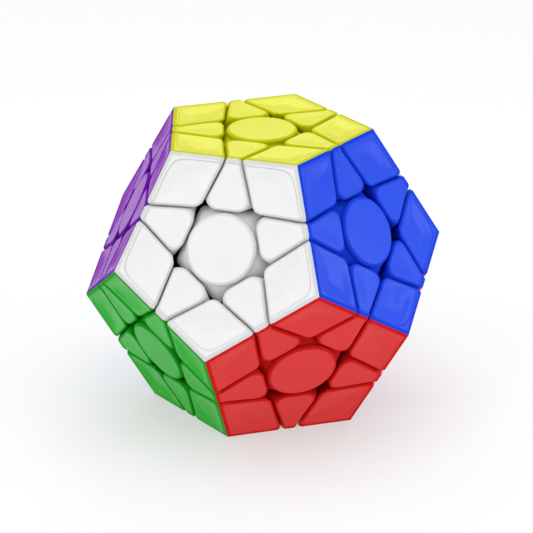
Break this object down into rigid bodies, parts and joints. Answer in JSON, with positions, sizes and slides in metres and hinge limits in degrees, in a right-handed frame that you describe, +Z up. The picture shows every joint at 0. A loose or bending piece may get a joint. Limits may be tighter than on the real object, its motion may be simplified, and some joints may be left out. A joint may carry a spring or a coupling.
{
  "type": "dodecahedron twisty puzzle",
  "caption": "Dodecahedral twisting puzzle with petal-shaped edge pieces, rhombic corner pieces and round sprung face centres on a hidden core.",
  "frame": {"origin": "centre of the bottom of the bounding box, under the middle of the cream face that it stands on", "axes": "+Z up, out of the yellow face; the white face looks towards -Y and up, the blue one towards +X"},
  "size_m": [0.0786, 0.0826, 0.0668],
  "materials": {
    "yellow": "satin-gloss moulded plastic, fine even grain",
    "white": "satin-gloss moulded plastic, fine even grain",
    "blue": "satin-gloss moulded plastic, fine even grain",
    "light_green": "satin-gloss moulded plastic, fine even grain",
    "orange": "satin-gloss moulded plastic, fine even grain",
    "purple": "satin-gloss moulded plastic, fine even grain",
    "red": "satin-gloss moulded plastic, fine even grain",
    "pink": "satin-gloss moulded plastic, fine even grain",
    "grey": "satin-gloss moulded plastic, fine even grain",
    "light_blue": "satin-gloss moulded plastic, fine even grain",
    "green": "satin-gloss moulded plastic, fine even grain",
    "cream": "satin-gloss moulded plastic, fine even grain",
    "core_plastic": "matt moulded nylon",
    "steel": "zinc-plated steel"
  },
  "bodies": {
    "core": {"core": "core_plastic", "corner_light_green_orange_grey": "light_green", "corner_light_green_pink_grey": "light_green", "corner_orange_grey_light_blue": "orange", "corner_white_red_green": "white", "corner_yellow_light_green_orange": "yellow", "edge_grey_light_blue": "grey", "edge_light_blue_green": "light_blue", "edge_light_green_grey": "light_green", "edge_light_green_orange": "light_green", "edge_light_green_pink": "light_green", "edge_orange_grey": "orange", "edge_orange_light_blue": "orange", "edge_pink_grey": "pink", "edge_red_green": "red", "edge_red_pink": "red", "edge_white_green": "white", "edge_white_red": "white", "edge_yellow_light_green": "yellow", "edge_yellow_orange": "yellow", "edge_yellow_white": "yellow", "screw_blue": "steel", "screw_cream": "steel", "screw_purple": "steel", "spring_blue": "steel", "spring_cream": "steel", "spring_purple": "steel"},
    "blue_layer": {"corner_blue_light_green_pink": "blue", "corner_blue_red_pink": "blue", "corner_white_blue_red": "white", "corner_yellow_blue_light_green": "yellow", "corner_yellow_white_blue": "yellow", "edge_blue_light_green": "blue", "edge_blue_pink": "blue", "edge_blue_red": "blue", "edge_white_blue": "white", "edge_yellow_blue": "yellow"},
    "blue_centre": {"centre_blue": "blue"},
    "purple_layer": {"corner_orange_purple_light_blue": "orange", "corner_purple_light_blue_green": "purple", "corner_white_purple_green": "white", "corner_yellow_orange_purple": "yellow", "corner_yellow_white_purple": "yellow", "edge_orange_purple": "orange", "edge_purple_green": "purple", "edge_purple_light_blue": "purple", "edge_white_purple": "white", "edge_yellow_purple": "yellow"},
    "purple_centre": {"centre_purple": "purple"},
    "cream_layer": {"corner_grey_light_blue_cream": "grey", "corner_light_blue_green_cream": "light_blue", "corner_pink_grey_cream": "pink", "corner_red_green_cream": "red", "corner_red_pink_cream": "red", "edge_green_cream": "green", "edge_grey_cream": "grey", "edge_light_blue_cream": "light_blue", "edge_pink_cream": "pink", "edge_red_cream": "red"},
    "cream_centre": {"centre_cream": "cream"}
  },
  "joints": [
    {"name": "blue_turn", "type": "hinge", "parent": "core", "child": "blue_layer", "pos_m": [0, 0, 0.03341], "axis": [0.8507, -0.2764, 0.4472], "continuous": true},
    {"name": "blue_centre_lift", "type": "slide", "parent": "blue_layer", "child": "blue_centre", "axis": [0.8507, -0.2764, 0.4472], "range_m": [0, 0.0008], "stiffness_N_per_m": 1500, "springref_m": -0.0015, "deforming": ["spring_blue"]},
    {"name": "purple_turn", "type": "hinge", "parent": "core", "child": "purple_layer", "pos_m": [0, 0, 0.03341], "axis": [-0.8507, -0.2764, 0.4472], "continuous": true},
    {"name": "purple_centre_lift", "type": "slide", "parent": "purple_layer", "child": "purple_centre", "axis": [-0.8507, -0.2764, 0.4472], "range_m": [0, 0.0008], "stiffness_N_per_m": 1500, "springref_m": -0.0015, "deforming": ["spring_purple"]},
    {"name": "cream_turn", "type": "hinge", "parent": "core", "child": "cream_layer", "pos_m": [0, 0, 0.03341], "axis": [0, 0, -1], "continuous": true},
    {"name": "cream_centre_lift", "type": "slide", "parent": "cream_layer", "child": "cream_centre", "axis": [0, 0, -1], "range_m": [0, 0.0008], "stiffness_N_per_m": 1500, "springref_m": -0.0015, "deforming": ["spring_cream"]}
  ]
}
